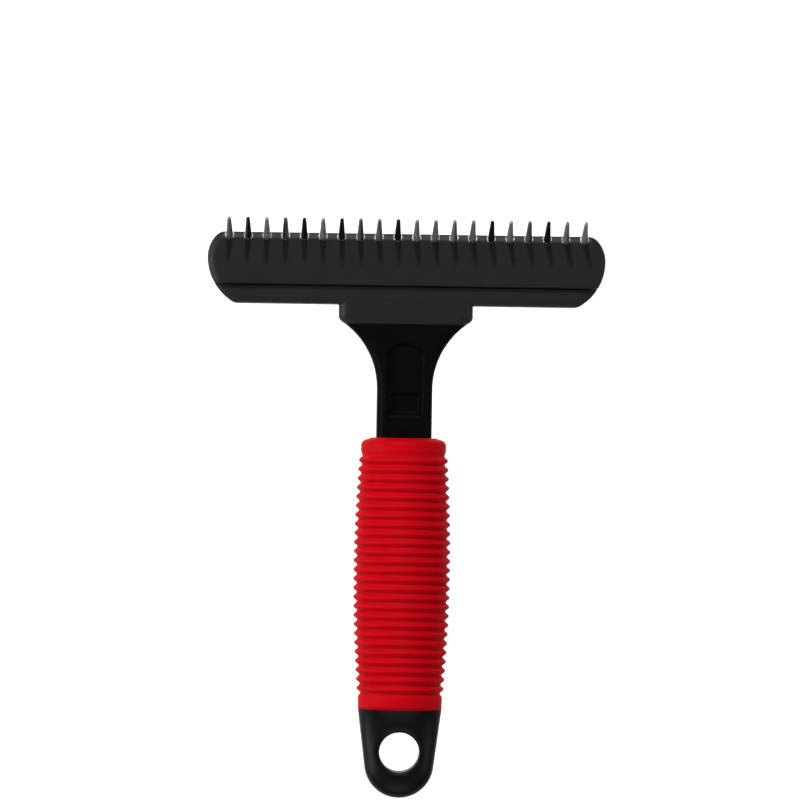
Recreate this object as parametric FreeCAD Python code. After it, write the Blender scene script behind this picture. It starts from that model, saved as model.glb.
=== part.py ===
import FreeCAD, Part
import math
import os
from FreeCAD import Vector

# Undercoat rake: a T-shaped pet comb whose steel teeth each turn freely about their own axis.
# It lies on its back: +X across the head, +Y along the handle towards the head, +Z up out of
# the front face. Sizes are millimetres. Stations along the handle are measured from the centre
# of the hang hole, and place() moves every piece so that the origin is under the middle of the
# whole object, on the surface that it lies on.

# Teeth
TOOTH_COUNT = 20
TOOTH_PITCH = 4.67
TOOTH_RISE_DEG = 67.0  # angle of a tooth's axis above the handle's axis
TOOTH_LENGTH = 10.4  # from its seat to its tip
TOOTH_ROOT_R = 0.85
TOOTH_TIP_R = 0.47
HEAD_R = 1.4  # headed inner end that keeps a tooth in
HEAD_THICK = 0.9
HEAD_BEVEL = 0.2
HEAD_PLAY = 0.05  # end play on each side of that head

# Bushes, one round each tooth
BUSH_BORE_R = 0.90
BUSH_TUBE_R = 1.1
BUSH_RIM_R = 1.2
BUSH_RIM_THICK = 0.35
BUSH_RIM_EDGE_R = 0.21
SPOTFACE_R = 1.45
SPOTFACE_HEIGHT = 2.0  # how far the spot-facing cutter reaches above the seat

# Head
RAKE_WIDTH = 99.6
RAKE_BOTTOM = 112.0  # station of the head's lower edge
RAKE_HEIGHT = 17.7
RAKE_DEPTH = 15.4
END_UPPER_R = 8.0  # the ends are two arcs that meet at the widest point
END_LOWER_R = 13.0
END_DROP = 6.3  # widest point below the head's upper edge
TOP_CORNER_R = 3.5
BOTTOM_CORNER_R = 2.5
BACK_ROUND_R = 2.0
END_ROUND_R = 2.0
BAND_EDGE_R = 0.35
BAND_CREASE_R = 1.2
PLANTING_BAND = 1.5  # height of the sloped band that holds the teeth, seen from the front
SEAT_DROP = 0.85  # tooth seat below the head's upper edge
SEAT_SINK = 0.15
WALL = 1.8
END_WALL = 2.8
TOP_WALL = 1.3
RAIL_DEPTH = 4.8  # solid rail under the planting band, along the tooth's axis
RAIL_HALF = 2.05
RAIL_OVER = 3.0  # the rail runs this far above the seats, into the front wall
RAIL_UP = 8.0  # and this far up across the tooth's axis, into the top wall
CHANNEL_HALF = 1.55
CHANNEL_END_GAP = 0.2
CHANNEL_END_WALL = 0.6
RETAINER_THICK = 1.5
RETAINER_GAP = 0.1
SEAM_Z = 6.5  # parting plane between cover and frame
SEAM_GROOVE = 0.25
COVER_EDGE = 4.65  # cover's lower edge above the head's lower edge
COVER_EDGE_R = 0.9
LIP_DROP = 1.4  # the frame's lower lip lies this far behind the cover's face
LIP_GAP = 0.25
LIP_THICK = 2.6
LIP_EDGE_R = 1.2
LIP_UNDERCUT = 0.1
RIB_COUNT = 6
RIB_THICK = 1.6
RIB_SPREAD = 83.6  # from the first rib to the last
RIB_ROOT = 0.2  # how far the ribs start inside the walls that they grow from
RIB_RELIEF = 0.5  # the ribs stay this far below the seam at the top wall

# Neck
NECK_WIDTH = 13.9
NECK_FRONT_Z = 14.0
NECK_BACK_Z = 4.5
FLANGE_BACK_Z = 2.2
FLARE_START = 91.0
FLARE_R = 20.0
FLARE_TURN_DEG = 55.0
FLANGE_WIDTH = 33.6
NECK_LAP_TANG = 1.5  # how far the neck runs into the tang
NECK_LAP_HEAD = 1.0  # and into the head
NECK_EDGE_R = 2.4
FLANGE_CORNER_R = 1.5
ROOT_FILLET_R = 0.4
RECESS_WIDTH = 9.3
RECESS_BOTTOM = 84.0
RECESS_TOP = 102.6
RECESS_ARCH = 2.8  # rise of the arch at its upper end
RECESS_DEPTH = 0.9
RECESS_CORNER_R = 1.0
RECESS_FLOOR_R = 0.4
RECESS_RIM_R = 0.25
POCKET_WIDTH = 7.4
POCKET_HEIGHT = 5.0
POCKET_DEPTH = 0.8
POCKET_CORNER_R = 0.8
POCKET_FLOOR_R = 0.5

# Grip sleeve
GRIP_FLATNESS = 0.82  # thickness over width of the oval grip
GRIP_MID_Z = 10.0
GRIP_BOTTOM = 10.7
RING_COUNT = 26
RING_PITCH = 2.29
RING_FIRST = 15.85
RING_DEPTH = 0.9
BARREL_R = 12.15
BARREL_MID = 46.0
BARREL_CURVE = 0.00134
LOW_COLLAR_TOP = 14.0
LOW_COLLAR_R = 10.5
HIGH_COLLAR_BOTTOM = 75.0
HIGH_COLLAR_TOP = 76.8
HIGH_COLLAR_R = 10.65
SHOULDER_RUN = 2.2  # how far the rounded shoulder comes in
SHOULDER_RISE = 1.4
SLEEVE_TOP = 78.7
SLEEVE_TOP_R = 8.0
COLLAR_BEVEL_RUN = 0.3
COLLAR_BEVEL = 0.15
COLLAR_SPREAD = 0.05  # the lower collar widens this much on its way up
TANG_R = 8.4
TANG_TOP = 76.4
TANG_BORE_R = 5.7
TANG_BORE_TOP = 70.0

# Tail cap
TAIL_TOP_R = 10.5
TAIL_END_R = 8.7
TAIL_TIP = -11.55
TAIL_THICK = 9.0
TAIL_SCOOP_START = 4.4
TAIL_SCOOP_PROUD = 0.3  # the scoop ends this far above the tail's oval, at the sleeve
TAIL_EDGE_R = 3.0
TAIL_FLATNESS = 0.71
HOLE_R = 5.0
HOLE_RIM_R = 0.8
SPIGOT_R = 5.65
SPIGOT_LENGTH = 20.0

BIG = 200.0  # longer than the whole object, for cutting tools
OVERRUN = 1.0  # how far a cutter reaches past the face that it cuts
NEAR = 0.01  # slack when edges are picked by their place
SHORT = 0.5  # edges shorter than this are passed over when edges are rounded

TOOTH_RISE = math.radians(TOOTH_RISE_DEG)
TOOTH_AXIS = Vector(0, math.cos(TOOTH_RISE), math.sin(TOOTH_RISE))
BAND_NORMAL_Y = TOOTH_AXIS.y / TOOTH_AXIS.z  # how fast the planting band falls back
RAKE_TOP = RAKE_BOTTOM + RAKE_HEIGHT
TOP_TURN = math.asin(END_DROP / END_UPPER_R)
SEAT_Y = RAKE_TOP - SEAT_DROP - SEAT_SINK * TOOTH_AXIS.y
BAND_START = RAKE_TOP - PLANTING_BAND
SEAT_Z = RAKE_DEPTH - (RAKE_TOP - SEAT_DROP - BAND_START) * BAND_NORMAL_Y - SEAT_SINK * TOOTH_AXIS.z
TIP_TOP = SEAT_Y + TOOTH_LENGTH * TOOTH_AXIS.y + TOOTH_TIP_R * (1 - TOOTH_AXIS.y)
Y_SHIFT = -(TIP_TOP + TAIL_TIP) / 2


def line(start, end):
    return Part.LineSegment(start, end).toShape()


def arc(start, middle, end):
    return Part.Arc(start, middle, end).toShape()


def box(low, high):
    size = high - low
    return Part.makeBox(size.x, size.y, size.z, low)


def side_prism(points, x_low, x_high):
    """Extrude a closed outline of (y, z) points along X."""
    corners = [Vector(x_low, y, z) for y, z in points]
    face = Part.Face(Part.makePolygon(corners + corners[:1]))
    return face.extrude(Vector(x_high - x_low, 0, 0))


def down_axis(depth, across):
    """Point (y, z) at a depth below a tooth's seat and a distance across its axis."""
    y = SEAT_Y - depth * TOOTH_AXIS.y + across * TOOTH_AXIS.z
    z = SEAT_Z - depth * TOOTH_AXIS.z - across * TOOTH_AXIS.y
    return (y, z)


def axis_block(depth_low, depth_high, across_low, across_high, half_length):
    """A bar along X whose section is square to the teeth."""
    corners = [
        down_axis(depth_low, across_low),
        down_axis(depth_high, across_low),
        down_axis(depth_high, across_high),
        down_axis(depth_low, across_high),
    ]
    return side_prism(corners, -half_length, half_length)


def on_each_tooth(shape):
    """Copies of a shape made round the local Z axis, one on every tooth's axis."""
    tilt = FreeCAD.Rotation(Vector(0, 0, 1), TOOTH_AXIS)
    copies = []
    for index in range(TOOTH_COUNT):
        x = (index - (TOOTH_COUNT - 1) / 2) * TOOTH_PITCH
        copy = shape.copy()
        copy.Placement = FreeCAD.Placement(Vector(x, SEAT_Y, SEAT_Z), tilt)
        copies.append(copy)
    return copies


def oval_turning(edges, flatness=GRIP_FLATNESS):
    """Turn a profile of edges in the XY plane about Y, then flatten it to an oval."""
    face = Part.Face(Part.Wire(edges))
    turned = face.revolve(Vector(0, 0, 0), Vector(0, 1, 0), 360)
    flatten = FreeCAD.Matrix()
    flatten.scale(Vector(1, 1, flatness))
    oval = turned.transformGeometry(flatten)
    oval.translate(Vector(0, 0, GRIP_MID_Z))
    return oval


def oval_rod(radius, bottom, top):
    corners = [
        Vector(0, bottom, 0),
        Vector(radius, bottom, 0),
        Vector(radius, top, 0),
        Vector(0, top, 0),
    ]
    return oval_turning([line(a, b) for a, b in zip(corners, corners[1:] + corners[:1])])


def edges_where(shape, test):
    """Edges for which the test holds at both ends and in the middle."""
    chosen = []
    for edge in shape.Edges:
        span = edge.LastParameter - edge.FirstParameter
        spots = [edge.valueAt(edge.FirstParameter + span * part) for part in (0.0, 0.5, 1.0)]
        if all(test(spot) for spot in spots):
            chosen.append(edge)
    return chosen


def rake_outline(upper_turn):
    """The head's outline, seen from the front. Each upper end arc turns by upper_turn."""
    half = RAKE_WIDTH / 2
    wide_y = RAKE_TOP - END_DROP
    lower_turn = math.asin((RAKE_HEIGHT - END_DROP) / END_LOWER_R)
    top_x = half - END_UPPER_R * (1 - math.cos(upper_turn))
    top_y = wide_y + END_UPPER_R * math.sin(upper_turn)
    upper_x = half - END_UPPER_R * (1 - math.cos(upper_turn / 2))
    upper_y = wide_y + END_UPPER_R * math.sin(upper_turn / 2)
    lower_x = half - END_LOWER_R * (1 - math.cos(lower_turn / 2))
    lower_y = wide_y - END_LOWER_R * math.sin(lower_turn / 2)
    bottom_x = half - END_LOWER_R * (1 - math.cos(lower_turn))
    edges = [
        line(Vector(-top_x, top_y, 0), Vector(top_x, top_y, 0)),
        line(Vector(-bottom_x, RAKE_BOTTOM, 0), Vector(bottom_x, RAKE_BOTTOM, 0)),
    ]
    for side in (1, -1):
        top = Vector(side * top_x, top_y, 0)
        wide = Vector(side * half, wide_y, 0)
        bottom = Vector(side * bottom_x, RAKE_BOTTOM, 0)
        edges.append(arc(top, Vector(side * upper_x, upper_y, 0), wide))
        edges.append(arc(wide, Vector(side * lower_x, lower_y, 0), bottom))
    return Part.Face(Part.Wire(Part.__sortEdges__(edges)))


def inset_block(inset, height):
    """A plain block inside the head's outline."""
    return rake_outline(TOP_TURN).makeOffset2D(-inset).extrude(Vector(0, 0, height))


def rake_hollow(clearance, height):
    """The space inside the head: thick end walls and a thinner wall along the top."""
    block = inset_block(END_WALL + clearance, height)
    return block.fuse(block.translated(Vector(0, END_WALL - TOP_WALL, 0)))


def round_upright(body, radius, station):
    """Round the upright corners that lie at one station along the handle."""
    corners = edges_where(body, lambda p: abs(p.y - station) < NEAR)
    return body.makeFillet(radius, [edge for edge in corners if edge.BoundBox.ZLength > SHORT])


def rake_envelope():
    """The head's whole outer form, before it is split into cover and frame."""
    body = rake_outline(TOP_TURN).extrude(Vector(0, 0, RAKE_DEPTH))
    body = round_upright(body, TOP_CORNER_R, RAKE_TOP)
    body = round_upright(body, BOTTOM_CORNER_R, RAKE_BOTTOM)
    body = body.makeFillet(BACK_ROUND_R, edges_where(body, lambda p: p.z < NEAR))
    past_y = RAKE_TOP + OVERRUN
    past_z = RAKE_DEPTH + OVERRUN
    band = side_prism(
        [
            (BAND_START, RAKE_DEPTH),
            (past_y, RAKE_DEPTH - (past_y - BAND_START) * BAND_NORMAL_Y),
            (past_y, past_z),
            (BAND_START, past_z),
        ],
        -BIG / 2,
        BIG / 2,
    )
    return body.cut(band)


def soft_front():
    """The head's outline as a block with a round front edge, for the ends of the cover."""
    body = rake_outline(math.pi / 2).extrude(Vector(0, 0, RAKE_DEPTH))
    body = round_upright(body, BOTTOM_CORNER_R, RAKE_BOTTOM)
    return body.makeFillet(END_ROUND_R, edges_where(body, lambda p: p.z > RAKE_DEPTH - NEAR))


def seam_groove():
    """A fine groove all round the head where cover and frame meet."""
    low = Vector(-BIG / 2, RAKE_BOTTOM - OVERRUN, SEAM_Z - SEAM_GROOVE / 2)
    high = Vector(BIG / 2, RAKE_TOP + OVERRUN, SEAM_Z + SEAM_GROOVE / 2)
    return box(low, high).cut(inset_block(SEAM_GROOVE, RAKE_DEPTH))


def cover_zone():
    return box(
        Vector(-BIG / 2, RAKE_BOTTOM + COVER_EDGE, SEAM_Z),
        Vector(BIG / 2, RAKE_TOP + OVERRUN, RAKE_DEPTH + OVERRUN),
    )


def head_cover():
    """Front shell of the head, with the solid rail that holds the bushes."""
    form = rake_envelope()
    crease = edges_where(form, lambda p: abs(p.y - BAND_START) < NEAR and p.z > RAKE_DEPTH - NEAR)
    form = form.makeFillet(BAND_CREASE_R, crease)
    band_low = RAKE_DEPTH - PLANTING_BAND * BAND_NORMAL_Y
    upper = edges_where(form, lambda p: p.y > RAKE_TOP - NEAR and abs(p.z - band_low) < NEAR)
    form = form.makeFillet(BAND_EDGE_R, upper)
    shell = form.common(cover_zone()).common(soft_front())
    cover_low = RAKE_BOTTOM + COVER_EDGE
    lower = edges_where(shell, lambda p: p.z > RAKE_DEPTH - NEAR and p.y < cover_low + NEAR)
    shell = shell.makeFillet(COVER_EDGE_R, lower)
    inner_low = Vector(-BIG / 2, cover_low + WALL, SEAM_Z - OVERRUN)
    inner_high = Vector(BIG / 2, RAKE_TOP - TOP_WALL, RAKE_DEPTH - WALL)
    hollow = rake_hollow(0, RAKE_DEPTH).common(box(inner_low, inner_high))
    rail = axis_block(-RAIL_OVER, RAIL_DEPTH, -RAIL_HALF, RAIL_UP, BIG / 2)
    shell = shell.cut(hollow.cut(rail))
    bore = Part.makeCylinder(
        BUSH_TUBE_R, RAIL_DEPTH + 2 * OVERRUN, Vector(0, 0, -RAIL_DEPTH - OVERRUN)
    )
    spotface = Part.makeCylinder(SPOTFACE_R, SPOTFACE_HEIGHT)
    cutters = on_each_tooth(bore.fuse(spotface))
    return shell.cut(Part.makeCompound(cutters)).cut(seam_groove())


def tooth_bush():
    """A thin flanged bush, made upright round the local Z axis with its seat at z = 0."""
    tube = Part.makeCylinder(BUSH_TUBE_R, RAIL_DEPTH, Vector(0, 0, -RAIL_DEPTH))
    rim = Part.makeCylinder(BUSH_RIM_R, BUSH_RIM_THICK)
    rounded = [edge for edge in rim.Edges if abs(edge.BoundBox.ZMin - BUSH_RIM_THICK) < NEAR]
    rim = rim.makeFillet(BUSH_RIM_EDGE_R, rounded)
    bore = Part.makeCylinder(
        BUSH_BORE_R, RAIL_DEPTH + 2 * OVERRUN, Vector(0, 0, -RAIL_DEPTH - OVERRUN)
    )
    return tube.fuse(rim).cut(bore).removeSplitter()


def tooth():
    """A headed steel tooth with a round tip, upright round the local Z axis."""
    head_top = -RAIL_DEPTH - HEAD_PLAY
    head_bottom = head_top - HEAD_THICK
    taper_start = BUSH_RIM_THICK
    tip_start = TOOTH_LENGTH - TOOTH_TIP_R
    tip_mid = math.pi / 4
    outline = [
        Vector(0, 0, head_bottom),
        Vector(HEAD_R - HEAD_BEVEL, 0, head_bottom),
        Vector(HEAD_R, 0, head_bottom + HEAD_BEVEL),
        Vector(HEAD_R, 0, head_top),
        Vector(TOOTH_ROOT_R, 0, head_top),
        Vector(TOOTH_ROOT_R, 0, taper_start),
        Vector(TOOTH_TIP_R, 0, tip_start),
    ]
    edges = [line(a, b) for a, b in zip(outline, outline[1:])]
    tip_side = Vector(TOOTH_TIP_R * math.cos(tip_mid), 0, tip_start + TOOTH_TIP_R * math.sin(tip_mid))
    tip_end = Vector(0, 0, TOOTH_LENGTH)
    edges.append(arc(outline[-1], tip_side, tip_end))
    edges.append(line(tip_end, outline[0]))
    return Part.Face(Part.Wire(edges)).revolve(Vector(0, 0, 0), Vector(0, 0, 1), 360)


def pin_retainer():
    """Channel bar that closes the sockets behind the teeth's heads."""
    half_length = (TOOTH_COUNT - 1) / 2 * TOOTH_PITCH + HEAD_R + CHANNEL_END_GAP + CHANNEL_END_WALL
    channel_depth = HEAD_THICK + 2 * HEAD_PLAY
    bar = axis_block(
        RAIL_DEPTH, RAIL_DEPTH + channel_depth + RETAINER_THICK, -RAIL_HALF, RAIL_HALF, half_length
    )
    channel_half = half_length - CHANNEL_END_WALL
    channel = axis_block(
        RAIL_DEPTH - OVERRUN, RAIL_DEPTH + channel_depth, -CHANNEL_HALF, CHANNEL_HALF, channel_half
    )
    return bar.cut(channel).common(rake_hollow(RETAINER_GAP, RAKE_DEPTH))


def rake_tray():
    """Back shell of the head with its front lip and the ribs that carry the retainer."""
    tray = rake_envelope().cut(cover_zone())
    lip_z = RAKE_DEPTH - LIP_DROP
    above = box(
        Vector(-BIG / 2, RAKE_BOTTOM - OVERRUN, lip_z),
        Vector(BIG / 2, RAKE_TOP + OVERRUN, RAKE_DEPTH + OVERRUN),
    )
    tray = tray.cut(above)
    gap_y = RAKE_BOTTOM + COVER_EDGE - LIP_GAP
    gap = box(
        Vector(-BIG / 2, gap_y, lip_z - LIP_THICK - LIP_UNDERCUT),
        Vector(BIG / 2, gap_y + LIP_GAP + OVERRUN, RAKE_DEPTH),
    )
    tray = tray.cut(gap)
    lip_edge = edges_where(tray, lambda p: p.z > lip_z - NEAR and p.y < gap_y - NEAR)
    long_edge = [edge for edge in lip_edge if edge.BoundBox.XLength > FLANGE_WIDTH]
    tray = tray.makeFillet(LIP_EDGE_R, long_edge)
    inside = box(
        Vector(-BIG / 2, RAKE_BOTTOM, WALL), Vector(BIG / 2, RAKE_TOP - TOP_WALL, lip_z - LIP_THICK)
    )
    tray = tray.cut(rake_hollow(0, RAKE_DEPTH).common(inside))
    rib_top = RAIL_DEPTH + HEAD_THICK + 2 * HEAD_PLAY + RETAINER_THICK
    root = WALL - RIB_ROOT
    low_y = RAKE_BOTTOM + root
    wall_y = RAKE_TOP - TOP_WALL + RIB_ROOT
    rib_low = down_axis(rib_top, -RAIL_HALF)
    rib_high = down_axis(rib_top, RAIL_HALF)
    outline = [
        (low_y, root),
        (wall_y, root),
        (wall_y, SEAM_Z - RIB_RELIEF),
        rib_high,
        rib_low,
        (rib_low[0], SEAM_Z),
        (low_y, SEAM_Z),
    ]
    for index in range(RIB_COUNT):
        x = (index / (RIB_COUNT - 1) - 0.5) * RIB_SPREAD
        tray = tray.fuse(side_prism(outline, x - RIB_THICK / 2, x + RIB_THICK / 2))
    return tray.cut(seam_groove())


def neck():
    """Flared neck, from the tang up into the head's underside."""
    half = NECK_WIDTH / 2
    turn = math.radians(FLARE_TURN_DEG)
    flare_x = half + FLARE_R * (1 - math.cos(turn))
    flare_y = FLARE_START + FLARE_R * math.sin(turn)
    mid_x = half + FLARE_R * (1 - math.cos(turn / 2))
    mid_y = FLARE_START + FLARE_R * math.sin(turn / 2)
    flange = FLANGE_WIDTH / 2
    shoulder_y = flare_y + (flange - flare_x) / math.tan(turn)
    root = TANG_TOP - NECK_LAP_TANG
    top = RAKE_BOTTOM + NECK_LAP_HEAD
    edges = []
    for side in (1, -1):
        stations = [
            Vector(side * half, root, 0),
            Vector(side * half, FLARE_START, 0),
            Vector(side * flare_x, flare_y, 0),
            Vector(side * flange, shoulder_y, 0),
            Vector(side * flange, top, 0),
        ]
        edges.append(line(stations[0], stations[1]))
        edges.append(arc(stations[1], Vector(side * mid_x, mid_y, 0), stations[2]))
        edges.append(line(stations[2], stations[3]))
        edges.append(line(stations[3], stations[4]))
    edges.append(line(Vector(-half, root, 0), Vector(half, root, 0)))
    edges.append(line(Vector(-flange, top, 0), Vector(flange, top, 0)))
    body = Part.Face(Part.Wire(Part.__sortEdges__(edges))).extrude(Vector(0, 0, NECK_FRONT_Z))
    body = round_upright(body, FLANGE_CORNER_R, shoulder_y)
    below = side_prism(
        [
            (root - OVERRUN, NECK_BACK_Z),
            (FLARE_START, NECK_BACK_Z),
            (top + OVERRUN, FLANGE_BACK_Z),
            (top + OVERRUN, -OVERRUN),
            (root - OVERRUN, -OVERRUN),
        ],
        -BIG / 2,
        BIG / 2,
    )
    body = body.cut(below)
    long_edges = edges_where(body, lambda p: p.z > NECK_FRONT_Z - NEAR and abs(p.x) > half - NEAR)
    body = body.makeFillet(NECK_EDGE_R, long_edges)
    back_edges = edges_where(
        body, lambda p: p.z < NECK_BACK_Z + NEAR and abs(p.x) > half - NEAR and root < p.y + NEAR
    )
    back_edges = [edge for edge in back_edges if edge.BoundBox.YLength > SHORT]
    return body.makeFillet(NECK_EDGE_R, back_edges)


def neck_recess():
    """Cutter for the arched panel on the neck's front and the pocket at its lower end."""
    half = RECESS_WIDTH / 2
    arch_y = RECESS_TOP - RECESS_ARCH
    edges = [
        line(Vector(-half, RECESS_BOTTOM, 0), Vector(half, RECESS_BOTTOM, 0)),
        line(Vector(half, RECESS_BOTTOM, 0), Vector(half, arch_y, 0)),
        arc(Vector(half, arch_y, 0), Vector(0, RECESS_TOP, 0), Vector(-half, arch_y, 0)),
        line(Vector(-half, arch_y, 0), Vector(-half, RECESS_BOTTOM, 0)),
    ]
    panel = Part.Face(Part.Wire(edges)).extrude(Vector(0, 0, RECESS_DEPTH + OVERRUN))
    corners = edges_where(panel, lambda p: abs(p.x) > half - NEAR and p.y < RECESS_BOTTOM + NEAR)
    panel = panel.makeFillet(RECESS_CORNER_R, corners)
    panel = panel.makeFillet(RECESS_FLOOR_R, edges_where(panel, lambda p: p.z < NEAR))
    panel.translate(Vector(0, 0, NECK_FRONT_Z - RECESS_DEPTH))
    floor_z = NECK_FRONT_Z - RECESS_DEPTH - POCKET_DEPTH
    pocket_y = RECESS_BOTTOM + (RECESS_WIDTH - POCKET_WIDTH) / 2
    pocket = box(
        Vector(-POCKET_WIDTH / 2, pocket_y, floor_z),
        Vector(POCKET_WIDTH / 2, pocket_y + POCKET_HEIGHT, NECK_FRONT_Z),
    )
    upright = [edge for edge in pocket.Edges if edge.BoundBox.ZLength > SHORT]
    pocket = pocket.makeFillet(POCKET_CORNER_R, upright)
    pocket = pocket.makeFillet(POCKET_FLOOR_R, edges_where(pocket, lambda p: p.z < floor_z + NEAR))
    return panel.fuse(pocket)


def tang():
    """Oval core inside the grip, hollow from its lower end."""
    return oval_rod(TANG_R, GRIP_BOTTOM, TANG_TOP).cut(
        oval_rod(TANG_BORE_R, GRIP_BOTTOM - OVERRUN, TANG_BORE_TOP)
    )


def handle_frame():
    """The one main moulding: head tray, neck and tang."""
    stem = neck().cut(neck_recess())
    recess_half = RECESS_WIDTH / 2 + NEAR
    rim = edges_where(stem, lambda p: abs(p.z - NECK_FRONT_Z) < NEAR and abs(p.x) < recess_half)
    rim = [edge for edge in rim if RECESS_BOTTOM - NEAR < edge.BoundBox.YMin < RECESS_TOP]
    stem = stem.makeFillet(RECESS_RIM_R, rim)
    body = rake_tray().fuse(stem).removeSplitter()
    flange = FLANGE_WIDTH / 2 + NEAR
    root = edges_where(body, lambda p: abs(p.y - RAKE_BOTTOM) < NEAR and abs(p.x) < flange)
    body = body.makeFillet(ROOT_FILLET_R, root)
    return body.fuse(tang()).removeSplitter()


def barrel_radius(station):
    return BARREL_R - BARREL_CURVE * (station - BARREL_MID) ** 2


def grip_sleeve():
    """Soft ribbed sleeve: plain collars at both ends and a barrel of round rings between."""
    quarter = RING_PITCH / 4
    edges = []
    start = Vector(LOW_COLLAR_R - COLLAR_BEVEL, GRIP_BOTTOM, 0)
    collar_low = Vector(LOW_COLLAR_R, GRIP_BOTTOM + COLLAR_BEVEL_RUN, 0)
    collar_top = Vector(LOW_COLLAR_R + COLLAR_SPREAD, LOW_COLLAR_TOP - COLLAR_BEVEL_RUN, 0)
    first_valley = Vector(barrel_radius(RING_FIRST) - RING_DEPTH, RING_FIRST - 2 * quarter, 0)
    edges.append(line(start, collar_low))
    edges.append(line(collar_low, collar_top))
    edges.append(line(collar_top, first_valley))
    here = first_valley
    bend = math.sqrt(0.5)
    wave_r = (quarter**2 + (RING_DEPTH / 2) ** 2) / RING_DEPTH
    half_turn = math.asin(quarter / wave_r) / 2
    side_step = wave_r * math.sin(half_turn)
    rise_step = wave_r * (1 - math.cos(half_turn))
    for ring in range(RING_COUNT):
        crest_y = RING_FIRST + ring * RING_PITCH
        crest_r = barrel_radius(crest_y)
        next_valley = Vector(crest_r - RING_DEPTH, crest_y + 2 * quarter, 0)
        low_in = Vector(crest_r - RING_DEPTH / 2, crest_y - quarter, 0)
        low_out = Vector(crest_r - RING_DEPTH / 2, crest_y + quarter, 0)
        valley_r = crest_r - RING_DEPTH + rise_step
        edges.append(arc(here, Vector(valley_r, crest_y - 2 * quarter + side_step, 0), low_in))
        edges.append(arc(low_in, Vector(crest_r, crest_y, 0), low_out))
        edges.append(arc(low_out, Vector(valley_r, crest_y + 2 * quarter - side_step, 0), next_valley))
        here = next_valley
    collar_start = Vector(HIGH_COLLAR_R, HIGH_COLLAR_BOTTOM, 0)
    shoulder = Vector(HIGH_COLLAR_R, HIGH_COLLAR_TOP, 0)
    shoulder_mid = Vector(
        HIGH_COLLAR_R - SHOULDER_RUN * (1 - bend), HIGH_COLLAR_TOP + SHOULDER_RISE * bend, 0
    )
    shoulder_end = Vector(HIGH_COLLAR_R - SHOULDER_RUN, HIGH_COLLAR_TOP + SHOULDER_RISE, 0)
    crown = Vector(SLEEVE_TOP_R, SLEEVE_TOP, 0)
    axis_top = Vector(0, SLEEVE_TOP, 0)
    axis_bottom = Vector(0, GRIP_BOTTOM, 0)
    edges.append(line(here, collar_start))
    edges.append(line(collar_start, shoulder))
    edges.append(arc(shoulder, shoulder_mid, shoulder_end))
    edges.append(line(shoulder_end, crown))
    edges.append(line(crown, axis_top))
    edges.append(line(axis_top, axis_bottom))
    edges.append(line(axis_bottom, start))
    outside = oval_turning(edges)
    return outside.cut(oval_rod(TANG_R, GRIP_BOTTOM - OVERRUN, TANG_TOP)).cut(neck())


def tail_cap():
    """Flat-sided end piece with the hang hole and a spigot that plugs into the tang."""
    centre_y = TAIL_TIP + TAIL_END_R
    reach = GRIP_BOTTOM - centre_y
    swing = math.acos(TAIL_END_R / math.hypot(TAIL_TOP_R, reach)) - math.atan2(reach, TAIL_TOP_R)
    touch = Vector(TAIL_END_R * math.cos(swing), centre_y - TAIL_END_R * math.sin(swing), 0)
    middle = (swing + math.pi / 2) / 2
    arc_mid = Vector(TAIL_END_R * math.cos(middle), centre_y - TAIL_END_R * math.sin(middle), 0)
    top = Vector(TAIL_TOP_R, GRIP_BOTTOM, 0)
    tip = Vector(0, TAIL_TIP, 0)
    axis_top = Vector(0, GRIP_BOTTOM, 0)
    envelope = oval_turning(
        [line(top, touch), arc(touch, arc_mid, tip), line(tip, axis_top), line(axis_top, top)],
        TAIL_FLATNESS,
    )
    half = TAIL_THICK / 2
    full = TAIL_TOP_R * TAIL_FLATNESS + TAIL_SCOOP_PROUD
    run = GRIP_BOTTOM - TAIL_SCOOP_START
    rise = full - half
    scoop_r = (run**2 + rise**2) / (2 * rise)
    turn = 2 * math.atan2(rise, run)
    edges = []
    for side in (1, -1):
        tip_corner = Vector(-BIG / 2, TAIL_TIP - OVERRUN, GRIP_MID_Z + side * half)
        scoop_start = Vector(-BIG / 2, TAIL_SCOOP_START, GRIP_MID_Z + side * half)
        mid_y = TAIL_SCOOP_START + scoop_r * math.sin(turn / 2)
        mid_z = GRIP_MID_Z + side * (half + scoop_r * (1 - math.cos(turn / 2)))
        scoop_end = Vector(-BIG / 2, GRIP_BOTTOM, GRIP_MID_Z + side * full)
        edges.append(line(tip_corner, scoop_start))
        edges.append(arc(scoop_start, Vector(-BIG / 2, mid_y, mid_z), scoop_end))
    for station, reach_z in ((TAIL_TIP - OVERRUN, half), (GRIP_BOTTOM, full)):
        low = Vector(-BIG / 2, station, GRIP_MID_Z - reach_z)
        high = Vector(-BIG / 2, station, GRIP_MID_Z + reach_z)
        edges.append(line(low, high))
    slab = Part.Face(Part.Wire(Part.__sortEdges__(edges))).extrude(Vector(BIG, 0, 0))
    body = envelope.common(slab)
    flank_edges = edges_where(
        body, lambda p: abs(abs(p.z - GRIP_MID_Z) - half) < NEAR and p.y < TAIL_SCOOP_START + NEAR
    )
    flank_edges = [edge for edge in flank_edges if edge.BoundBox.YLength > SHORT]
    body = body.makeFillet(TAIL_EDGE_R, flank_edges)
    hole = Part.makeCylinder(HOLE_R, BIG, Vector(0, 0, -BIG / 2))
    body = body.cut(hole)
    rims = edges_where(body, lambda p: abs(math.hypot(p.x, p.y) - HOLE_R) < NEAR)
    rims = [edge for edge in rims if edge.BoundBox.ZLength < SHORT]
    body = body.makeFillet(HOLE_RIM_R, rims)
    spigot = oval_rod(SPIGOT_R, GRIP_BOTTOM - OVERRUN, GRIP_BOTTOM + SPIGOT_LENGTH)
    return body.fuse(spigot)


def place(shape):
    return shape.translated(Vector(0, Y_SHIFT, 0))


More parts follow.
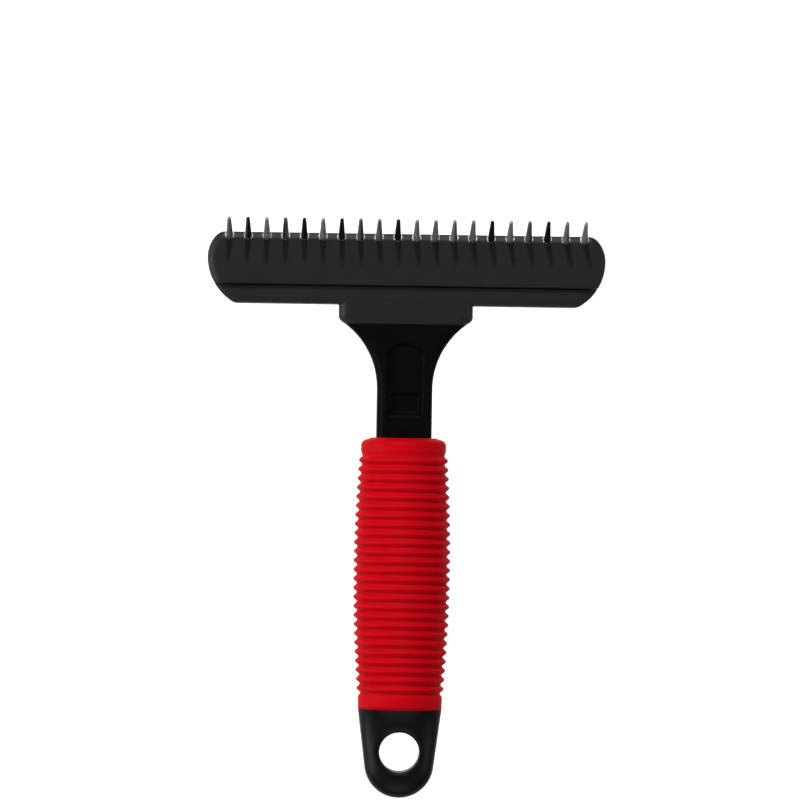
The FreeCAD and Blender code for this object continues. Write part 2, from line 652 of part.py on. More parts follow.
def export(name, shape):
    shape = place(shape)
    solids = shape.Solids
    print(name, "solids", len(solids), "valid", shape.isValid(), "volume %.1f" % shape.Volume)
    single = solids[0] if len(solids) == 1 else Part.makeCompound(solids)
    single.exportStep("parts/%s.step" % name)


os.makedirs("parts", exist_ok=True)
export("handle_frame", handle_frame())
export("head_cover", head_cover())
export("pin_retainer", pin_retainer())
export("pin_bushes", Part.makeCompound(on_each_tooth(tooth_bush())))
export("grip_sleeve", grip_sleeve())
export("tail_cap", tail_cap())
for number, shape in enumerate(on_each_tooth(tooth()), start=1):
    export("tooth_%02d" % number, shape)
print("hang hole y %.3f" % Y_SHIFT)
print("tooth seat y %.3f z %.3f" % (SEAT_Y + Y_SHIFT, SEAT_Z))
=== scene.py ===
import math

import bmesh
import bpy
import numpy as np
from mathutils import Matrix, Vector


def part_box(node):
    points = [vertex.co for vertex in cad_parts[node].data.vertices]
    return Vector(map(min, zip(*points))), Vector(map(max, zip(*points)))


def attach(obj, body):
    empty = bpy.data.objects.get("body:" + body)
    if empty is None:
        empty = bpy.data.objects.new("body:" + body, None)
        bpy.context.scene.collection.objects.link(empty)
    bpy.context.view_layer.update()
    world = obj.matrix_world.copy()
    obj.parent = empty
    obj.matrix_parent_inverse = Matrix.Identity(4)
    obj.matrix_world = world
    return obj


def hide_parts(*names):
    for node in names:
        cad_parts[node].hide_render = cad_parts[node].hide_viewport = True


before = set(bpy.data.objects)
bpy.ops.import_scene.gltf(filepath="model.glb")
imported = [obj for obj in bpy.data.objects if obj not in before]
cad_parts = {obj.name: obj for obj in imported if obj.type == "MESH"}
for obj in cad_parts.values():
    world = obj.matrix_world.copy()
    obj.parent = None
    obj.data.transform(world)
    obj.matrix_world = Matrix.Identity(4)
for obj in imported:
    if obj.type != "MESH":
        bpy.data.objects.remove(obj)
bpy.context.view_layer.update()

# Undercoat rake, lying on its back: +X across the head, +Y along the handle towards the head,
# +Z up out of the front face. The sizes named here are in millimetres, and MM turns them into metres.
MM = 0.001
TAIL_TIP = -11.55  # the tail's lower end, measured from the hang hole's centre
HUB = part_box("tail_cap")[0].y - TAIL_TIP * MM  # the hang hole's centre in metres, where stations start

# Teeth, measured along and across a tooth's own axis from its seat on the cover
TOOTH_COUNT = 20
TOOTH_PITCH = 4.67
TOOTH_RISE = math.radians(67.0)
TOOTH_ROOT_R = 0.85
TOOTH_TIP_R = 0.47
TAPER_START = 0.35
TAPER_ROWS = (0.9, 9.8)  # rows near the ends of the taper, between which it is shaded straight
TIP_CENTRE = 9.922  # centre of the rounded tip
HEAD_R = 1.40
HEAD_BOTTOM = -5.75
HEAD_TOP = -4.85
HEAD_BOTTOM_ROUND = 0.18
HEAD_TOP_ROUND = 0.08
SHANK_FILLET = 0.05
SEAT_Y = 67.996  # the row of seats, in the rake's frame
SEAT_Z = 14.986
LATHE_STEPS = 40

# Bushes, measured in the same way
BUSH_BORE_R = 0.90
BUSH_TUBE_R = 1.10
BUSH_RIM_R = 1.17
BUSH_BOTTOM = -4.80
BUSH_TOP = 0.30
BUSH_EDGE_R = 0.11  # rounding of the rim
RIM_STEP = 0.02
COUNTERSINK_WIDE = 0.09
COUNTERSINK_DEEP = 0.12

# Grip sleeve; stations are measured along the handle from the hang hole's centre
FLATNESS = 0.82  # height of an oval section over its width
GRIP_MID_Z = 10.0
GRIP_BOTTOM = 10.7
GRIP_COLUMNS = 256
TANG_R = 8.4
TANG_TOP = 76.4

# The barrel's crests follow a shallow parabola, widest at BARREL_MID
BARREL_R = 12.15
BARREL_MID = 46.0
BARREL_CURVE = 0.00134
RING_COUNT = 26
RING_PITCH = 2.29
RING_FIRST = 15.85  # station of the lowest crest
RING_DEPTH = 0.86
RING_STEPS = 16
GROOVE_SHARPNESS = 1.15  # 1 is a plain cosine, more makes the grooves narrower

# The sleeve's ends: rounded lower edge, plain collars, rolled shoulder and the mouth round the neck.
# Outlines are (station, radius), from the lower end up.
EDGE_R = 1.30  # rounding of the lower edge in front and behind
EDGE_SIDE_R = 0.15  # rounding of the lower edge at the sides
EDGE_ROWS = 12
COLLAR_R = 10.5
LOW_COLLAR = [(12.4, 10.52), (13.0, 10.54), (13.5, 10.55), (13.75, 10.54), (13.95, 10.47)]
HIGH_COLLAR = [
    (74.90, 10.48), (75.05, 10.58), (75.3, 10.65), (75.6, 10.70),
    (75.9, 10.68), (76.25, 10.63), (76.5, 10.64), (76.7, 10.67),
]
SHOULDER_START = 76.8
SHOULDER_RISE = 1.55
SHOULDER_INNER_R = 8.75
SHOULDER_WIDE = 1.92
SHOULDER_TURNS = np.linspace(0.08, 1.50, 12)  # radians from the side towards the top
TOP_EDGE = [(78.46, 8.62), (78.56, 8.48), (78.64, 8.34), (78.69, 8.18), (78.70, 8.00)]
TOP_LIP = 0.06  # the sleeve's mouth is this much below its upper end
TOP_BLENDS = (0.5, 0.85, 0.97)  # how far the upper end's rows have turned from oval to neck
PART_LINE_RISE = 0.02
PART_LINE_HALF = 0.012  # as a sine of the angle round the sleeve
BORE_GAP = 0.01  # between the sleeve's bore and the tang

# The neck where it enters the sleeve, a rounded rectangle
NECK_HALF = 6.95
NECK_LOW_Z = 4.5
NECK_HIGH_Z = 14.0
NECK_CORNER_R = 2.4

# Tail cap, round the hang hole's centre
TAIL_TOP_R = 10.5
TAIL_END_R = 8.7
TAIL_HALF = 4.5  # half thickness at the hole
TAIL_TOP_HALF = 6.4  # half thickness where it meets the sleeve
TAIL_SCOOP_START = 2.0
TAIL_CROWN = 2.3  # 2 is an ellipse across, more is squarer
HOLE_R = 5.0
HOLE_RIM_WIDE = 1.6
HOLE_RIM_DROP = 0.8
HOLE_RIM_ROWS = 10
TAIL_COLUMNS = 256
TAIL_ROWS = 22  # rows from the hole's rim to the outline
SPIGOT_R = 5.65
SPIGOT_FOOT = 10.2
SPIGOT_TOP = 30.7
SPIGOT_CHAMFER = 0.4
SPIGOT_CHAMFER_R = 0.2
SPIGOT_STEPS = 64

# Stations where the neck's gloss gives way to the matt flange and head
GLOSS_END = 107.0
MATT_START = 107.4

# Halving finds where a ray leaves an outline that is nearer than this
FARTHEST_OUTLINE = 20.0
HALVINGS = 50
WELD_GAP = 0.0005  # points that are nearer than this are joined


# ---------------------------------------------------------------- materials

class Nodes:
    """Builds one material's node tree."""

    def __init__(self, name):
        self.material = bpy.data.materials.new(name)
        self.material.use_nodes = True
        self.tree = self.material.node_tree
        self.shader = self.tree.nodes["Principled BSDF"]
        self.place = self.add("ShaderNodeTexCoord").outputs["Object"]

    def add(self, kind, **values):
        """A node with these inputs or settings."""
        node = self.tree.nodes.new(kind)
        for key, value in values.items():
            if key in node.inputs:
                node.inputs[key].default_value = value
            else:
                setattr(node, key, value)
        return node

    def link(self, source, target):
        """Join an output to an input."""
        self.tree.links.new(source, target)

    def noise(self, size, detail=3.0):
        """Noise with features of about this size in metres."""
        node = self.add("ShaderNodeTexNoise", Scale=1.0 / size, Detail=detail)
        self.link(self.place, node.inputs["Vector"])
        return node.outputs["Fac"]

    def spread(self, source, low, high, start=0.3, end=0.7):
        """Map a pattern to the range low to high."""
        node = self.add("ShaderNodeMapRange")
        self.link(source, node.inputs["Value"])
        node.inputs["From Min"].default_value = start
        node.inputs["From Max"].default_value = end
        node.inputs["To Min"].default_value = low
        node.inputs["To Max"].default_value = high
        return node.outputs["Result"]

    def colours(self, source, dark, light, start=0.3, end=0.7):
        """Map a pattern to a ramp between two colours."""
        node = self.add("ShaderNodeValToRGB")
        ramp = node.color_ramp
        ramp.elements[0].position, ramp.elements[1].position = start, end
        ramp.elements[0].color, ramp.elements[1].color = (*dark, 1), (*light, 1)
        self.link(source, node.inputs["Fac"])
        return node.outputs["Color"]

    def mix(self, factor, first, second, kind="MIX"):
        """Blend of two colours, full strength where no factor is given."""
        node = self.add("ShaderNodeMix", data_type="RGBA", blend_type=kind)
        if factor is None:
            node.inputs[0].default_value = 1.0
        else:
            self.link(factor, node.inputs[0])
        self.link(first, node.inputs[6])
        self.link(second, node.inputs[7])
        return node.outputs[2]

    def blend(self, factor, first, second):
        """Blend of two numbers."""
        node = self.add("ShaderNodeMix", data_type="FLOAT")
        self.link(factor, node.inputs[0])
        self.link(first, node.inputs[2])
        self.link(second, node.inputs[3])
        return node.outputs[0]

    def bump(self, source, height, before=None):
        """Bump of this height in metres, on top of an earlier bump if there is one."""
        node = self.add("ShaderNodeBump", Strength=1.0, Distance=height)
        self.link(source, node.inputs["Height"])
        if before is not None:
            self.link(before, node.inputs["Normal"])
        return node.outputs["Normal"]

    def finish(self, colour, roughness, normal, **values):
        """Join the patterns to the shader, set its plain inputs and hand back the material."""
        self.link(colour, self.shader.inputs["Base Color"])
        self.link(roughness, self.shader.inputs["Roughness"])
        self.link(normal, self.shader.inputs["Normal"])
        for key, value in values.items():
            self.shader.inputs[key].default_value = value
        return self.material


def black_plastic():
    """Moulded black plastic: a satin texture on the head, bare and glossy from the neck down."""
    m = Nodes("black_plastic")
    split = m.add("ShaderNodeSeparateXYZ")
    m.link(m.place, split.inputs["Vector"])
    matt = m.spread(split.outputs["Y"], 0.0, 1.0, HUB + GLOSS_END * MM, HUB + MATT_START * MM)
    tone = m.noise(5 * MM)
    colour = m.mix(
        matt,
        m.colours(tone, (0.0020, 0.0020, 0.0021), (0.0026, 0.0026, 0.0027)),
        m.colours(tone, (0.0014, 0.0014, 0.0022), (0.0020, 0.0020, 0.0030)),
    )
    wear = m.noise(1.6 * MM, detail=5.0)
    roughness = m.blend(matt, m.spread(wear, 0.27, 0.34), m.spread(wear, 0.54, 0.60))
    level = m.spread(matt, 0.010, 0.24, 0.0, 1.0)
    m.link(level, m.shader.inputs["Specular IOR Level"])
    fine = m.bump(m.noise(0.16 * MM, detail=2.0), 0.0012 * MM)
    normal = m.bump(m.noise(3.0 * MM, detail=1.0), 0.010 * MM, fine)
    return m.finish(colour, roughness, normal)


def tail_plastic():
    """Softer black plastic with an even eggshell sheen."""
    m = Nodes("tail_plastic")
    colour = m.colours(m.noise(4 * MM), (0.0022, 0.0022, 0.0025), (0.0030, 0.0030, 0.0034))
    roughness = m.spread(m.noise(1.2 * MM, detail=5.0), 0.38, 0.44)
    fine = m.bump(m.noise(0.16 * MM, detail=2.0), 0.0015 * MM)
    normal = m.bump(m.noise(2.4 * MM, detail=1.0), 0.006 * MM, fine)
    return m.finish(colour, roughness, normal, **{"Specular IOR Level": 0.08})


def red_rubber():
    """Soft-touch rubber: even red, matt, with a fine powdery grain."""
    m = Nodes("red_rubber")
    colour = m.colours(m.noise(3 * MM, detail=4.0), (0.330, 0.0003, 0.0034), (0.350, 0.0005, 0.0042))
    roughness = m.spread(m.noise(0.8 * MM, detail=5.0), 0.52, 0.62)
    coarse = m.bump(m.noise(1.1 * MM, detail=2.0), 0.008 * MM)
    normal = m.bump(m.noise(0.12 * MM, detail=2.0), 0.003 * MM, coarse)
    return m.finish(colour, roughness, normal, **{"Specular IOR Level": 0.03})


def turned_steel():
    """Dark polished steel with fine marks left round each tooth by the lathe, and painted reflections
    that make some teeth black and others grey.
    """
    m = Nodes("tooth_steel")
    # the marks are fine along the tooth and drawn out round it
    along = m.add("ShaderNodeVectorMath", operation="DOT_PRODUCT")
    m.link(m.place, along.inputs[0])
    along.inputs[1].default_value = (0.0, math.cos(TOOTH_RISE), math.sin(TOOTH_RISE))
    split = m.add("ShaderNodeSeparateXYZ")
    m.link(m.place, split.inputs["Vector"])
    place = m.add("ShaderNodeCombineXYZ")
    m.link(along.outputs["Value"], place.inputs["X"])
    across = m.add("ShaderNodeMath", operation="MULTIPLY")
    m.link(split.outputs["X"], across.inputs[0])
    across.inputs[1].default_value = 0.02
    m.link(across.outputs["Value"], place.inputs["Y"])
    marks = m.add("ShaderNodeTexNoise", Scale=1.0 / (0.07 * MM), Detail=2.0)
    m.link(place.outputs["Vector"], marks.inputs["Vector"])
    # painted reflection: a slow change along the row makes some teeth black and others grey, standing in
    # for the different surroundings that each tooth reflects
    painted_reflection_batch = m.add("ShaderNodeTexNoise", Scale=1.0 / (6.0 * MM), Detail=0.0, noise_dimensions="1D")
    m.link(split.outputs["X"], painted_reflection_batch.inputs["W"])
    # the black and grey ends of this ramp are painted reflection, not a difference in the steel
    painted_reflection_tone = m.colours(painted_reflection_batch.outputs["Fac"], (0.012, 0.012, 0.014), (0.26, 0.26, 0.28), 0.42, 0.58)
    polish = m.colours(marks.outputs["Fac"], (0.80, 0.80, 0.80), (1.0, 1.0, 1.0))
    colour = m.mix(None, painted_reflection_tone, polish, "MULTIPLY")
    roughness = m.spread(m.noise(0.3 * MM, detail=4.0), 0.20, 0.32)
    normal = m.bump(marks.outputs["Fac"], 0.0012 * MM)
    surface = {"Metallic": 0.5, "Specular IOR Level": 0.1, "Specular Tint": (0.25, 0.25, 0.26, 1)}
    return m.finish(colour, roughness, normal, **surface)


def bright_plating():
    """Bright plating on the bushes, slightly dulled."""
    m = Nodes("bright_plating")
    colour = m.colours(m.noise(0.4 * MM), (0.12, 0.12, 0.13), (0.17, 0.17, 0.18))
    roughness = m.spread(m.noise(0.25 * MM, detail=4.0), 0.24, 0.34)
    normal = m.bump(m.noise(0.3 * MM, detail=2.0), 0.002 * MM)
    return m.finish(colour, roughness, normal, Metallic=1.0)


# ---------------------------------------------------------------- mesh helpers

def piece(name, points, faces, material, sharp_deg=40.0):
    """A mesh object from points in metres, smooth except at edges sharper than sharp_deg."""
    mesh = bpy.data.meshes.new(name)
    mesh.from_pydata([tuple(p) for p in points], [], faces)
    mesh.validate()
    mesh.shade_smooth()
    mesh.set_sharp_from_angle(angle=math.radians(sharp_deg))
    mesh.materials.append(material)
    obj = bpy.data.objects.new(name, mesh)
    bpy.context.scene.collection.objects.link(obj)
    return obj


def ring_faces(rows, columns, closed):
    """Quads between rings of points; closed also joins the last ring to the first."""
    faces = []
    for row in range(rows if closed else rows - 1):
        after = (row + 1) % rows
        for column in range(columns):
            beside = (column + 1) % columns
            near, far = row * columns, after * columns
            faces.append((near + column, near + beside, far + beside, far + column))
    return faces


def arc_points(centre, radius, start_deg, end_deg, steps):
    """Points (r, z) on an arc, ends included."""
    return [
        (
            centre[0] + radius * math.cos(math.radians(a)),
            centre[1] + radius * math.sin(math.radians(a)),
        )
        for a in np.linspace(start_deg, end_deg, steps + 1)
    ]


def lathe(profile, steps, closed):
    """Turn a profile of (r, z) points about Z. Open profiles start and end on the axis."""
    points = []
    rings = profile if closed else profile[1:-1]
    for radius, height in rings:
        for step in range(steps):
            angle = 2 * math.pi * step / steps
            points.append((radius * math.cos(angle), radius * math.sin(angle), height))
    faces = ring_faces(len(rings), steps, closed)
    if not closed:
        first, last = len(points), len(points) + 1
        points += [(0, 0, profile[0][1]), (0, 0, profile[-1][1])]
        end = (len(rings) - 1) * steps
        for step in range(steps):
            beside = (step + 1) % steps
            faces.append((first, beside, step))
            faces.append((last, end + step, end + beside))
    return points, faces


def on_tooth(index, spin, points):
    """Points made along Z from a seat at the origin, moved to one tooth's place."""
    x = (index - (TOOTH_COUNT - 1) / 2) * TOOTH_PITCH
    tilt = Matrix.Rotation(TOOTH_RISE - math.pi / 2, 4, "X")
    seat = Matrix.Translation(Vector((x, SEAT_Y, SEAT_Z)) * MM)
    place = seat @ tilt @ Matrix.Rotation(spin, 4, "Z")
    return [place @ Vector(p) for p in points]


# ---------------------------------------------------------------- pieces

def tooth_profile():
    """Outside of a tooth as (radius, height): head in the socket, shank, taper, rounded tip."""
    low, high, fillet = HEAD_BOTTOM_ROUND, HEAD_TOP_ROUND, SHANK_FILLET
    foot = TOOTH_ROOT_R + fillet
    profile = [(0, HEAD_BOTTOM)]
    profile += arc_points((HEAD_R - low, HEAD_BOTTOM + low), low, -90, 0, 4)
    profile += arc_points((HEAD_R - high, HEAD_TOP - high), high, 0, 90, 3)
    profile += [(foot, HEAD_TOP)] + arc_points((foot, HEAD_TOP + fillet), fillet, -90, -180, 2)
    profile.append((TOOTH_ROOT_R, TAPER_START))
    slope = (TOOTH_ROOT_R - TOOTH_TIP_R) / (TIP_CENTRE - TAPER_START)
    profile += [(TOOTH_ROOT_R - slope * (z - TAPER_START), z) for z in TAPER_ROWS]
    profile += arc_points((0.0, TIP_CENTRE), TOOTH_TIP_R, 0, 90, 8)
    return profile


def make_teeth(material):
    """One steel pin for each tooth, each turned to an angle of its own in its bush."""
    points, faces = lathe([(r * MM, z * MM) for r, z in tooth_profile()], LATHE_STEPS, False)
    turns = np.random.default_rng(7).uniform(0, 2 * math.pi, TOOTH_COUNT)
    for index in range(TOOTH_COUNT):
        number = "%02d" % (index + 1)
        placed = on_tooth(index, turns[index], points)
        pin = piece("pin_" + number, placed, faces, material)
        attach(pin, "tooth_" + number)
        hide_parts("tooth_" + number)


def bush_profile():
    """Section of a bush as (radius, height), up the outside, round the rim and back to the bore."""
    bore, tube = BUSH_BORE_R, BUSH_TUBE_R
    profile = [(bore, BUSH_BOTTOM), (tube, BUSH_BOTTOM)]
    profile += [(tube, -RIM_STEP), (tube + RIM_STEP, 0.0), (tube + 1.5 * RIM_STEP, 0.0)]
    profile += arc_points((BUSH_RIM_R - BUSH_EDGE_R, BUSH_TOP - BUSH_EDGE_R), BUSH_EDGE_R, -40, 90, 8)
    profile += [(bore + COUNTERSINK_WIDE, BUSH_TOP), (bore + COUNTERSINK_WIDE * 2 / 3, BUSH_TOP - 0.02)]
    profile += [(bore, BUSH_TOP - COUNTERSINK_DEEP), (bore, BUSH_TOP - 2 * COUNTERSINK_DEEP)]
    return profile


def make_bushes(material):
    """Flanged rings, with a rounded outer edge and a small countersink round the tooth."""
    points, faces = lathe([(r * MM, z * MM) for r, z in bush_profile()], LATHE_STEPS, True)
    all_points, all_faces = [], []
    for index in range(TOOTH_COUNT):
        start = len(all_points)
        all_points += on_tooth(index, 0.0, points)
        all_faces += [tuple(start + corner for corner in face) for face in faces]
    rings = piece("bush_rings", all_points, all_faces, material)
    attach(rings, "rake")
    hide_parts("pin_bushes")


def ringed_radius(station, part):
    """Radius of the ringed barrel; part runs from 0 in one groove over a crest to 1 in the next."""
    crest = BARREL_R - BARREL_CURVE * (station - BARREL_MID) ** 2
    groove = ((1 + math.cos(2 * math.pi * part)) / 2) ** GROOVE_SHARPNESS
    return crest - RING_DEPTH * groove


def grip_profile():
    """Outside of the sleeve as (station, radius), from its lower end up."""
    # the rows crowd towards the lower end, where the edge's rounding is steepest
    lifts = EDGE_R * np.linspace(0, 1, EDGE_ROWS) ** 2.2
    profile = [(GRIP_BOTTOM + lift, COLLAR_R) for lift in lifts] + LOW_COLLAR
    for ring in range(RING_COUNT):
        for step in range(RING_STEPS):
            part = step / RING_STEPS
            station = RING_FIRST + (ring + part - 0.5) * RING_PITCH
            profile.append((station, ringed_radius(station, part)))
    profile += HIGH_COLLAR
    for turn in SHOULDER_TURNS:
        station = SHOULDER_START + SHOULDER_RISE * math.sin(turn)
        profile.append((station, SHOULDER_INNER_R + SHOULDER_WIDE * math.cos(turn)))
    return profile + TOP_EDGE


def edge_rounding(upright, station):
    """How far the sleeve's lower edge is drawn in: rounded in front and behind, not at the sides."""
    sides = (1 - upright**2) ** 3
    radius = EDGE_SIDE_R + (EDGE_R - EDGE_SIDE_R) * (1 - sides)
    below = np.clip(radius - (station - GRIP_BOTTOM), 0, radius)
    return radius - np.sqrt(radius**2 - below**2)


def outline_reach(is_inside, angle, low):
    """Distance from an axis to an outline in one direction, found by halving."""
    high = FARTHEST_OUTLINE
    for _ in range(HALVINGS):
        reach = (low + high) / 2
        if is_inside(reach * math.cos(angle), reach * math.sin(angle)):
            low = reach
        else:
            high = reach
    return (low + high) / 2


def in_neck(x, z):
    """Whether a point, measured from the grip's axis, is within the neck's rounded rectangle."""
    mid_z = (NECK_LOW_Z + NECK_HIGH_Z) / 2
    half_z = (NECK_HIGH_Z - NECK_LOW_Z) / 2
    side = abs(x) - (NECK_HALF - NECK_CORNER_R)
    upright = abs(GRIP_MID_Z + z - mid_z) - (half_z - NECK_CORNER_R)
    outside = math.hypot(max(side, 0), max(upright, 0)) + min(max(side, upright), 0)
    return outside <= NECK_CORNER_R


def make_grip(material):
    """Rubber sleeve: rings outside, an oval bore round the tang, a close fit round the neck."""
    outside = grip_profile()
    angles = np.linspace(0, 2 * math.pi, GRIP_COLUMNS, endpoint=False)
    neck = np.array([outline_reach(in_neck, a, 0.0) for a in angles])
    across = np.cos(angles)
    upright = np.sin(angles)
    rows = []

    def row(station, x, z):
        rows.append(np.stack([x, np.full_like(x, station), GRIP_MID_Z + z], axis=1))

    def oval(radius):
        return radius * across, radius * upright * FLATNESS

    # a fine parting line along both sides, where the two halves of the mould met
    ridge = PART_LINE_RISE * np.exp(-((upright / PART_LINE_HALF) ** 2))
    for station, radius in outside:
        row(station, *oval(radius + ridge - edge_rounding(upright, station)))
    last_station, last_radius = outside[-1]
    last_x, last_z = oval(last_radius)
    for part in TOP_BLENDS:
        # the oval and the neck's outline are blended point by point
        x = last_x * (1 - part) + neck * across * part
        z = last_z * (1 - part) + neck * upright * part
        row(last_station, x, z)
    for station in (last_station - TOP_LIP, TANG_TOP):
        row(station, (neck + BORE_GAP) * across, (neck + BORE_GAP) * upright)
    for station in (TANG_TOP, GRIP_BOTTOM):
        row(station, *oval(TANG_R + BORE_GAP))
    points = np.concatenate(rows) * MM
    points[:, 1] += HUB
    faces = ring_faces(len(rows), GRIP_COLUMNS, True)
    grip = piece("grip_rubber", points, faces, material, sharp_deg=60.0)
    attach(grip, "rake")
    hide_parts("grip_sleeve")


def tail_half_height(x, y):
    """Half thickness of the tail at a point, before its rim is rounded; zero on its outline."""
    centre_y = TAIL_TIP + TAIL_END_R
    # the straight flank leans out by this angle; along runs up it from the end's arc
    reach = GRIP_BOTTOM - centre_y
    lean = math.acos(TAIL_END_R / math.hypot(TAIL_TOP_R, reach)) - math.atan2(reach, TAIL_TOP_R)
    across = abs(x) * math.cos(lean) - (y - centre_y) * math.sin(lean)
    along = abs(x) * math.sin(lean) + (y - centre_y) * math.cos(lean)
    if along > 0:
        inward = (TAIL_END_R - across) / (TAIL_END_R + along * math.tan(lean))
    else:
        inward = 1 - math.hypot(x, y - centre_y) / TAIL_END_R
    outward = min(max(1 - inward, 0.0), 1.0)
    rise = max(y - TAIL_SCOOP_START, 0) / (GRIP_BOTTOM - TAIL_SCOOP_START)
    half = TAIL_HALF + (TAIL_TOP_HALF - TAIL_HALF) * rise**2
    return half * (1 - outward**TAIL_CROWN) ** (1 / TAIL_CROWN)


def in_tail(x, y):
    """Whether a point, measured from the hole's centre, is within the tail's outline."""
    return y < GRIP_BOTTOM and tail_half_height(x, y) > 0


def tail_column(angle):
    """Points of the tail's front half from inside the hole to the outline, in one direction."""
    far = outline_reach(in_tail, angle, HOLE_R)
    start = HOLE_R + HOLE_RIM_WIDE
    rim = [math.pi / 2 * part for part in np.linspace(1, 0, HOLE_RIM_ROWS)]
    rolled = [(start - HOLE_RIM_WIDE * math.sin(a), HOLE_RIM_DROP * (1 - math.cos(a))) for a in rim]
    # the rows crowd towards the outline, where the section turns down
    spread = [math.sin(math.pi / 2 * part) for part in np.linspace(0, 1, TAIL_ROWS + 1)[1:]]
    column = []
    for radius, drop in rolled + [(start + (far - start) * part, 0.0) for part in spread]:
        x, y = radius * math.cos(angle), radius * math.sin(angle)
        column.append((x, y, tail_half_height(x, y) - drop))
    if y < GRIP_BOTTOM - 0.001:
        column[-1] = (x, y, 0.0)
    return column


def tail_skin():
    """Crowned skin with the hang hole through it, as points in millimetres and faces."""
    corner = math.atan2(GRIP_BOTTOM, TAIL_TOP_R)
    angles = np.linspace(-math.pi / 2, 1.5 * math.pi, TAIL_COLUMNS, endpoint=False)
    for target in (corner, math.pi - corner):
        angles[np.argmin(np.abs(angles - target))] = target
    front = np.array([tail_column(angle) for angle in angles]).transpose(1, 0, 2)
    back = front[::-1] * np.array([1.0, 1.0, -1.0])
    rows = np.concatenate([front, back])
    points = [Vector((x, y, GRIP_MID_Z + z)) for x, y, z in rows.reshape(-1, 3)]
    return points, ring_faces(len(rows), TAIL_COLUMNS, True)


def tail_spigot():
    """Oval spigot that plugs into the handle, as points in millimetres and faces."""
    end_r = SPIGOT_R - SPIGOT_CHAMFER_R
    profile = [(0, SPIGOT_FOOT), (end_r, SPIGOT_FOOT), (SPIGOT_R, SPIGOT_FOOT)]
    profile += [(SPIGOT_R, SPIGOT_TOP - SPIGOT_CHAMFER), (end_r, SPIGOT_TOP), (0, SPIGOT_TOP)]
    points = []
    for radius, station in profile:
        for step in range(SPIGOT_STEPS):
            angle = 2 * math.pi * step / SPIGOT_STEPS
            z = GRIP_MID_Z + radius * FLATNESS * math.sin(angle)
            points.append(Vector((radius * math.cos(angle), station, z)))
    faces = ring_faces(len(profile), SPIGOT_STEPS, False)
    return points, [tuple(reversed(face)) for face in faces]


def weld(mesh):
    """Join the points that fall together and turn all faces outwards."""
    work = bmesh.new()
    work.from_mesh(mesh)
    bmesh.ops.remove_doubles(work, verts=work.verts, dist=WELD_GAP * MM)
    bmesh.ops.dissolve_degenerate(work, edges=work.edges, dist=WELD_GAP * MM)
    bmesh.ops.recalc_face_normals(work, faces=work.faces)
    work.to_mesh(mesh)
    work.free()


def make_tail(material):
    """Rounded end piece with the hang hole, and the spigot that plugs into the handle."""
    points, faces = tail_skin()
    spigot_points, spigot_faces = tail_spigot()
    start = len(points)
    faces += [tuple(start + corner for corner in face) for face in spigot_faces]
    places = [p * MM + Vector((0, HUB, 0)) for p in points + spigot_points]
    tail = piece("tail_end", places, faces, material, sharp_deg=50.0)
    weld(tail.data)
    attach(tail, "rake")
    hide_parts("tail_cap")


plastic = black_plastic()
for node in ("handle_frame", "head_cover", "pin_retainer"):
    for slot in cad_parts[node].material_slots:
        slot.material = plastic

make_teeth(turned_steel())
make_bushes(bright_plating())
make_grip(red_rubber())
make_tail(tail_plastic())


# ---------------------------------------------------------------- floor, light and camera

# Everything in this section is in metres, watts and degrees
FLOOR_Z = -0.25  # the rake hovers well over the floor, so that its shadows fall outside the view
FLOOR_HALF = 4.0
FLOOR_WHITE = 0.88
WORLD_STRENGTH = 0.04
WHITE = (1, 1, 1, 1)

# Area lights as place, size and watts, all aimed at the middle of the rake
LIGHT_AIM = (0, 0.03, 0)
LIGHTS = {
    "key": ((-0.03, 0.60, 0.49), (0.055, 0.075), 5.7),  # small, so that each tooth throws a shadow
    "left_high": ((-0.90, 0.10, 1.00), (0.80, 1.00), 2.6),
    "left_low": ((-1.25, 0.00, 0.56), (1.20, 0.60), 22.0),
    "foot": ((0.00, -1.15, 0.76), (1.00, 0.60), 7.2),
    "right_low": ((1.15, 0.00, 0.72), (1.20, 0.60), 8.2),
}

CAMERA_PLACE = (-0.020, 0.02741, 1.45)
CAMERA_AIM = (-0.00097, 0.02741, 0.0)
CAMERA_ROLL = 0.88
CAMERA_LENS = 258.4
CAMERA_SENSOR = 36.0


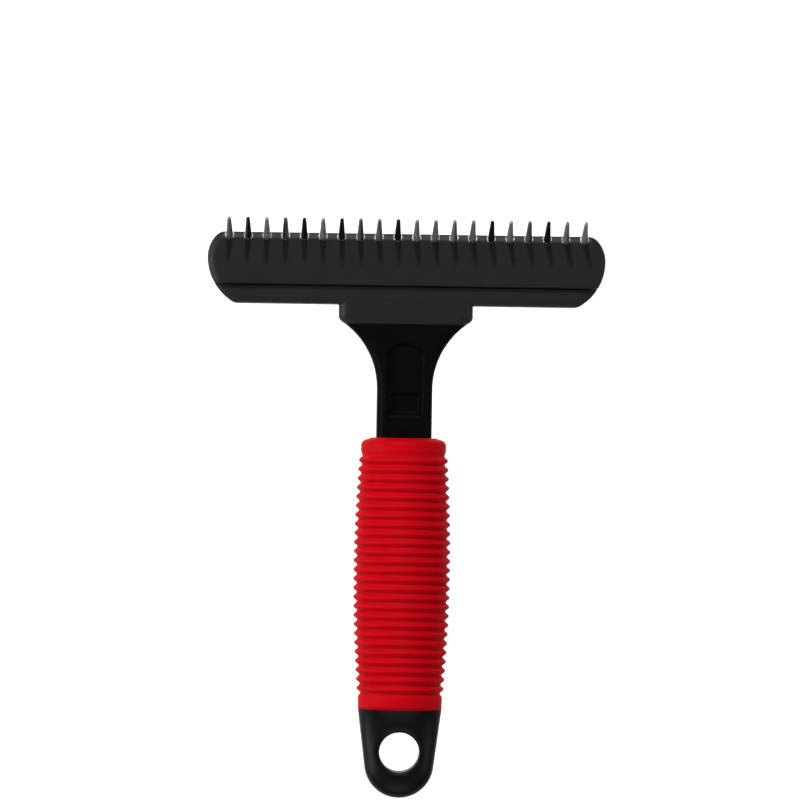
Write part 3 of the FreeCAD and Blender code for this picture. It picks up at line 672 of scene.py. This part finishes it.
def make_floor():
    """A plain pale floor."""
    mesh = bpy.data.meshes.new("floor")
    half = FLOOR_HALF
    corners = [(-half, -half), (half, -half), (half, half), (-half, half)]
    mesh.from_pydata([(x, y, FLOOR_Z) for x, y in corners], [], [(0, 1, 2, 3)])
    floor = bpy.data.objects.new("floor", mesh)
    bpy.context.scene.collection.objects.link(floor)
    paint = bpy.data.materials.new("floor_paint")
    paint.use_nodes = True
    shader = paint.node_tree.nodes["Principled BSDF"]
    shader.inputs["Base Color"].default_value = (FLOOR_WHITE, FLOOR_WHITE, FLOOR_WHITE, 1)
    shader.inputs["Roughness"].default_value = 0.9
    shader.inputs["Specular IOR Level"].default_value = 0.1
    mesh.materials.append(paint)


def make_light(name, place, size, watts):
    """A soft rectangular light that faces the rake."""
    data = bpy.data.lights.new(name, "AREA")
    data.shape = "RECTANGLE"
    data.size, data.size_y = size
    data.energy = watts
    lamp = bpy.data.objects.new(name, data)
    bpy.context.scene.collection.objects.link(lamp)
    lamp.location = place
    lamp.rotation_euler = (Vector(LIGHT_AIM) - Vector(place)).to_track_quat("-Z", "Y").to_euler()


def make_world():
    """An even white surrounding, much weaker than the lights."""
    world = bpy.data.worlds.new("studio")
    world.use_nodes = True
    background = world.node_tree.nodes["Background"]
    background.inputs["Color"].default_value = WHITE
    background.inputs["Strength"].default_value = WORLD_STRENGTH
    bpy.context.scene.world = world
    bpy.context.scene.view_settings.view_transform = "Standard"


def make_camera():
    """Long lens, nearly straight above the front face, slightly rolled."""
    data = bpy.data.cameras.new("camera")
    data.lens = CAMERA_LENS
    data.sensor_width = CAMERA_SENSOR
    camera = bpy.data.objects.new("camera", data)
    bpy.context.scene.collection.objects.link(camera)
    camera.location = CAMERA_PLACE
    back = (Vector(CAMERA_PLACE) - Vector(CAMERA_AIM)).normalized()
    across = Vector((0, 1, 0)).cross(back).normalized()
    turn = Matrix((across, back.cross(across), back)).transposed()
    roll = Matrix.Rotation(math.radians(CAMERA_ROLL), 3, "Z")
    camera.rotation_euler = (turn @ roll).to_euler()
    bpy.context.scene.camera = camera


make_floor()
for name, (place, size, watts) in LIGHTS.items():
    make_light(name, place, size, watts)
make_world()
make_camera()
